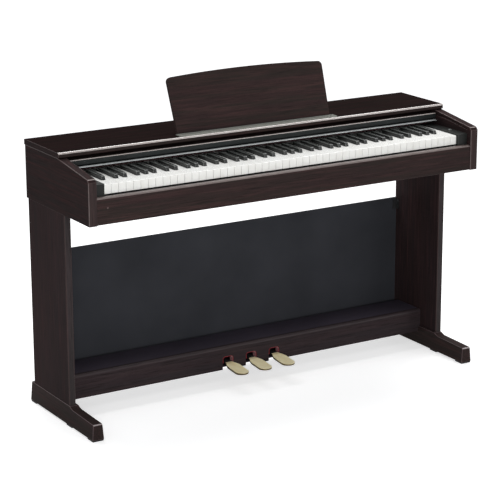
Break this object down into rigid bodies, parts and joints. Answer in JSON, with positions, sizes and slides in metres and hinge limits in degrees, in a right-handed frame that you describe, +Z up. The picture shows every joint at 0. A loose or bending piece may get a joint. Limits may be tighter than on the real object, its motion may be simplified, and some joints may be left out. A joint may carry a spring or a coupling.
{
  "type": "digital piano on stand",
  "caption": "Slim home digital piano: full-length keyboard case on two board legs, with sliding key cover, folding music rest, back panel and pedal box.",
  "frame": {"origin": "on the floor, under the middle of the whole piano's bounding box", "axes": "+X along the keyboard to the player's right, +Y away from the player, +Z up"},
  "size_m": [1.357, 0.422, 0.9858],
  "materials": {
    "rosewood_board": "satin dark rosewood foil",
    "dark_board": "matt dark foil on board",
    "black_plastic": "black moulded plastic",
    "control_plastic": "grey moulded plastic",
    "white_key": "white key plastic, satin gloss",
    "black_key": "black key plastic, semi-matt",
    "pedal_brass": "polished cast brass",
    "black_steel": "black painted steel",
    "runner_plastic": "natural acetal",
    "speaker_steel": "painted pressed steel",
    "circuit_board": "glass-filled board",
    "red_felt": "woven red felt",
    "foot_rubber": "black rubber",
    "ledge_rubber": "ribbed grey rubber",
    "lamp_lens": "tinted lamp lens"
  },
  "bodies": {
    "cabinet": {"top_board": "rosewood_board", "side_panel_left": "rosewood_board", "side_panel_right": "rosewood_board", "front_rail": "rosewood_board", "power_lamp": "lamp_lens", "keybed": "dark_board", "speakers": "speaker_steel", "speaker_grilles": "black_steel", "rear_cover": "dark_board", "connector_panel": "black_plastic", "key_block_right": "black_plastic", "key_block_left": "black_plastic", "fallboard_panel": "black_plastic", "key_frame": "black_steel", "key_felts": "red_felt", "circuit_boards": "circuit_board", "headphone_box": "black_plastic", "music_ledge": "ledge_rubber", "rest_hinges": "black_steel", "leg_left": "rosewood_board", "leg_right": "rosewood_board", "foot_left": "rosewood_board", "foot_right": "rosewood_board", "foot_pads": "foot_rubber", "leg_brackets": "black_steel", "back_panel": "dark_board", "panel_brackets": "black_steel", "pedal_box_front": "rosewood_board", "pedal_box_shell": "dark_board", "pedal_felts": "red_felt", "pedal_frame": "black_steel"},
    "key_cover": {"key_cover": "dark_board", "cover_lip": "black_plastic", "cover_runners": "runner_plastic"},
    "music_rest": {"music_rest": "rosewood_board", "rest_lugs": "black_steel"},
    "rest_supports": {"rest_supports": "black_steel"},
    "power_button": {"power_button": "control_plastic"},
    "voice_button": {"voice_button": "control_plastic"},
    "metronome_button": {"metronome_button": "control_plastic"},
    "volume_slider": {"volume_slider": "control_plastic"},
    "key_c": {"key_c": "white_key"},
    "key_d": {"key_d": "white_key"},
    "key_e": {"key_e": "white_key"},
    "key_f": {"key_f": "white_key"},
    "key_g": {"key_g": "white_key"},
    "key_a": {"key_a": "white_key"},
    "key_b": {"key_b": "white_key"},
    "key_c_sharp": {"key_c_sharp": "black_key"},
    "key_d_sharp": {"key_d_sharp": "black_key"},
    "key_f_sharp": {"key_f_sharp": "black_key"},
    "key_g_sharp": {"key_g_sharp": "black_key"},
    "key_a_sharp": {"key_a_sharp": "black_key"},
    "white_keys_bass": {"white_keys_bass": "white_key"},
    "black_keys_bass": {"black_keys_bass": "black_key"},
    "white_keys_treble": {"white_keys_treble": "white_key"},
    "black_keys_treble": {"black_keys_treble": "black_key"},
    "soft_pedal": {"soft_pedal": "pedal_brass"},
    "sostenuto_pedal": {"sostenuto_pedal": "pedal_brass"},
    "damper_pedal": {"damper_pedal": "pedal_brass"}
  },
  "joints": [
    {"name": "key_cover_slide", "type": "hinge", "parent": "cabinet", "child": "key_cover", "pos_m": [0, 0.06, -0.7084], "axis": [1, 0, 0], "range_deg": [0, 6.8]},
    {"name": "music_rest_fold", "type": "hinge", "parent": "cabinet", "child": "music_rest", "pos_m": [0, 0.0164, 0.8235], "axis": [-1, 0, 0], "range_deg": [0, 70]},
    {"name": "rest_support_fold", "type": "hinge", "parent": "music_rest", "child": "rest_supports", "pos_m": [0, 0.04844, 0.89491], "axis": [1, 0, 0], "range_deg": [0, 134]},
    {"name": "power_button_press", "type": "slide", "parent": "cabinet", "child": "power_button", "axis": [0, 0, -1], "range_m": [0, 0.0015], "stiffness_N_per_m": 400, "springref_m": -0.002},
    {"name": "voice_button_press", "type": "slide", "parent": "cabinet", "child": "voice_button", "axis": [0, 0, -1], "range_m": [0, 0.0015], "stiffness_N_per_m": 400, "springref_m": -0.002},
    {"name": "metronome_button_press", "type": "slide", "parent": "cabinet", "child": "metronome_button", "axis": [0, 0, -1], "range_m": [0, 0.0015], "stiffness_N_per_m": 400, "springref_m": -0.002},
    {"name": "volume_slide", "type": "slide", "parent": "cabinet", "child": "volume_slider", "axis": [0, 1, 0], "range_m": [0, 0.024]},
    {"name": "key_c_press", "type": "hinge", "parent": "cabinet", "child": "key_c", "pos_m": [0, 0.045, 0.732], "axis": [1, 0, 0], "range_deg": [0, 2.5], "stiffness_Nm_per_rad": 0.8, "springref_deg": -20.05},
    {"name": "key_d_press", "type": "hinge", "parent": "cabinet", "child": "key_d", "pos_m": [0, 0.045, 0.732], "axis": [1, 0, 0], "range_deg": [0, 2.5], "stiffness_Nm_per_rad": 0.8, "springref_deg": -20.05},
    {"name": "key_e_press", "type": "hinge", "parent": "cabinet", "child": "key_e", "pos_m": [0, 0.045, 0.732], "axis": [1, 0, 0], "range_deg": [0, 2.5], "stiffness_Nm_per_rad": 0.8, "springref_deg": -20.05},
    {"name": "key_f_press", "type": "hinge", "parent": "cabinet", "child": "key_f", "pos_m": [0, 0.045, 0.732], "axis": [1, 0, 0], "range_deg": [0, 2.5], "stiffness_Nm_per_rad": 0.8, "springref_deg": -20.05},
    {"name": "key_g_press", "type": "hinge", "parent": "cabinet", "child": "key_g", "pos_m": [0, 0.045, 0.732], "axis": [1, 0, 0], "range_deg": [0, 2.5], "stiffness_Nm_per_rad": 0.8, "springref_deg": -20.05},
    {"name": "key_a_press", "type": "hinge", "parent": "cabinet", "child": "key_a", "pos_m": [0, 0.045, 0.732], "axis": [1, 0, 0], "range_deg": [0, 2.5], "stiffness_Nm_per_rad": 0.8, "springref_deg": -20.05},
    {"name": "key_b_press", "type": "hinge", "parent": "cabinet", "child": "key_b", "pos_m": [0, 0.045, 0.732], "axis": [1, 0, 0], "range_deg": [0, 2.5], "stiffness_Nm_per_rad": 0.8, "springref_deg": -20.05},
    {"name": "key_c_sharp_press", "type": "hinge", "parent": "cabinet", "child": "key_c_sharp", "pos_m": [0, 0.045, 0.732], "axis": [1, 0, 0], "range_deg": [0, 2.5], "stiffness_Nm_per_rad": 0.6, "springref_deg": -20.05},
    {"name": "key_d_sharp_press", "type": "hinge", "parent": "cabinet", "child": "key_d_sharp", "pos_m": [0, 0.045, 0.732], "axis": [1, 0, 0], "range_deg": [0, 2.5], "stiffness_Nm_per_rad": 0.6, "springref_deg": -20.05},
    {"name": "key_f_sharp_press", "type": "hinge", "parent": "cabinet", "child": "key_f_sharp", "pos_m": [0, 0.045, 0.732], "axis": [1, 0, 0], "range_deg": [0, 2.5], "stiffness_Nm_per_rad": 0.6, "springref_deg": -20.05},
    {"name": "key_g_sharp_press", "type": "hinge", "parent": "cabinet", "child": "key_g_sharp", "pos_m": [0, 0.045, 0.732], "axis": [1, 0, 0], "range_deg": [0, 2.5], "stiffness_Nm_per_rad": 0.6, "springref_deg": -20.05},
    {"name": "key_a_sharp_press", "type": "hinge", "parent": "cabinet", "child": "key_a_sharp", "pos_m": [0, 0.045, 0.732], "axis": [1, 0, 0], "range_deg": [0, 2.5], "stiffness_Nm_per_rad": 0.6, "springref_deg": -20.05},
    {"name": "white_keys_bass_press", "type": "hinge", "parent": "cabinet", "child": "white_keys_bass", "pos_m": [0, 0.045, 0.732], "axis": [1, 0, 0], "range_deg": [0, 2.5], "stiffness_Nm_per_rad": 18.4, "springref_deg": -20.05},
    {"name": "black_keys_bass_press", "type": "hinge", "parent": "cabinet", "child": "black_keys_bass", "pos_m": [0, 0.045, 0.732], "axis": [1, 0, 0], "range_deg": [0, 2.5], "stiffness_Nm_per_rad": 9.6, "springref_deg": -20.05},
    {"name": "white_keys_treble_press", "type": "hinge", "parent": "cabinet", "child": "white_keys_treble", "pos_m": [0, 0.045, 0.732], "axis": [1, 0, 0], "range_deg": [0, 2.5], "stiffness_Nm_per_rad": 17.6, "springref_deg": -20.05},
    {"name": "black_keys_treble_press", "type": "hinge", "parent": "cabinet", "child": "black_keys_treble", "pos_m": [0, 0.045, 0.732], "axis": [1, 0, 0], "range_deg": [0, 2.5], "stiffness_Nm_per_rad": 9, "springref_deg": -20.05},
    {"name": "soft_pedal_press", "type": "hinge", "parent": "cabinet", "child": "soft_pedal", "pos_m": [0, 0.138, 0.072], "axis": [1, 0, 0], "range_deg": [0, 4.5], "stiffness_Nm_per_rad": 6, "springref_deg": -14.32},
    {"name": "sostenuto_pedal_press", "type": "hinge", "parent": "cabinet", "child": "sostenuto_pedal", "pos_m": [0, 0.138, 0.072], "axis": [1, 0, 0], "range_deg": [0, 4.5], "stiffness_Nm_per_rad": 6, "springref_deg": -14.32},
    {"name": "damper_pedal_press", "type": "hinge", "parent": "cabinet", "child": "damper_pedal", "pos_m": [0, 0.138, 0.072], "axis": [1, 0, 0], "range_deg": [0, 4.5], "stiffness_Nm_per_rad": 6, "springref_deg": -14.32}
  ],
  "couplings": [
    {"joint": "rest_support_fold", "follows": "music_rest_fold", "ratio": 1.9}
  ]
}
